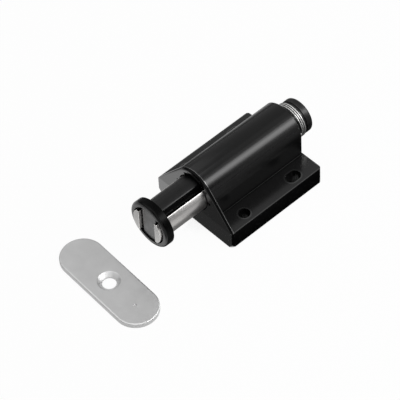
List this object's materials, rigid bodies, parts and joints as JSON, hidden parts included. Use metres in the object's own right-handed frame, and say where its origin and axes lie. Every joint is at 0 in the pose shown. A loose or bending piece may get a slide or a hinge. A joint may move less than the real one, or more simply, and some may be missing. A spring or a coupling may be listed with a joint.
{
  "type": "magnetic push latch",
  "caption": "Magnetic push latch: a sprung round plunger with flat pole faces and a soft buffer ring slides in a barrel on a screw-down base, with a loose rounded steel strike plate.",
  "frame": {"origin": "middle of the base underside, on the surface that the latch is screwed to", "axes": "+Y along the plunger towards the rear cap, so the plunger points along -Y and slides in along +Y; +Z away from the mounting surface; +X across the flanges"},
  "size_m": [0.05, 0.1107, 0.0272],
  "materials": {
    "housing_plastic": "satin black moulded",
    "inner_plastic": "matte black moulded",
    "plunger_plastic": "fine matte black moulded",
    "nose_plastic": "satin black moulded",
    "soft_rubber": "smooth soft black",
    "zinc_steel": "bright zinc",
    "spring_steel": "drawn wire",
    "pole_steel": "satin nickel",
    "plate_steel": "satin nickel plated",
    "ferrite": "dull ceramic grey"
  },
  "bodies": {
    "base": {"housing": "housing_plastic", "base_cover": "inner_plastic", "cover_screws": "zinc_steel", "front_bush": "inner_plastic", "anchor_key": "zinc_steel", "guide_core": "inner_plastic", "rear_cap": "housing_plastic", "cap_screw": "zinc_steel", "main_spring": "spring_steel", "strike_plate": "plate_steel"},
    "plunger": {"plunger_carrier": "plunger_plastic", "stop_collar": "inner_plastic", "collar_pins": "zinc_steel", "pole_bar_left": "pole_steel", "pole_bar_right": "pole_steel", "magnet": "ferrite", "pole_pin": "zinc_steel", "nose_plate": "nose_plastic", "buffer_ring": "soft_rubber", "spring_washer": "zinc_steel", "follower_leaf": "spring_steel"},
    "follower": {"follower_wire": "spring_steel"}
  },
  "joints": [
    {"name": "plunger_slide", "type": "slide", "parent": "base", "child": "plunger", "axis": [0, 1, 0], "range_m": [0, 0.019], "stiffness_N_per_m": 120, "springref_m": -0.02, "deforming": ["main_spring"]},
    {"name": "follower_swing", "type": "hinge", "parent": "plunger", "child": "follower", "pos_m": [0, -0.03005, 0.0204], "axis": [0, 0, 1], "range_deg": [0, 4.2]}
  ],
  "couplings": [
    {"joint": "follower_swing", "follows": "plunger_slide", "rad_per_m": 3.831}
  ]
}
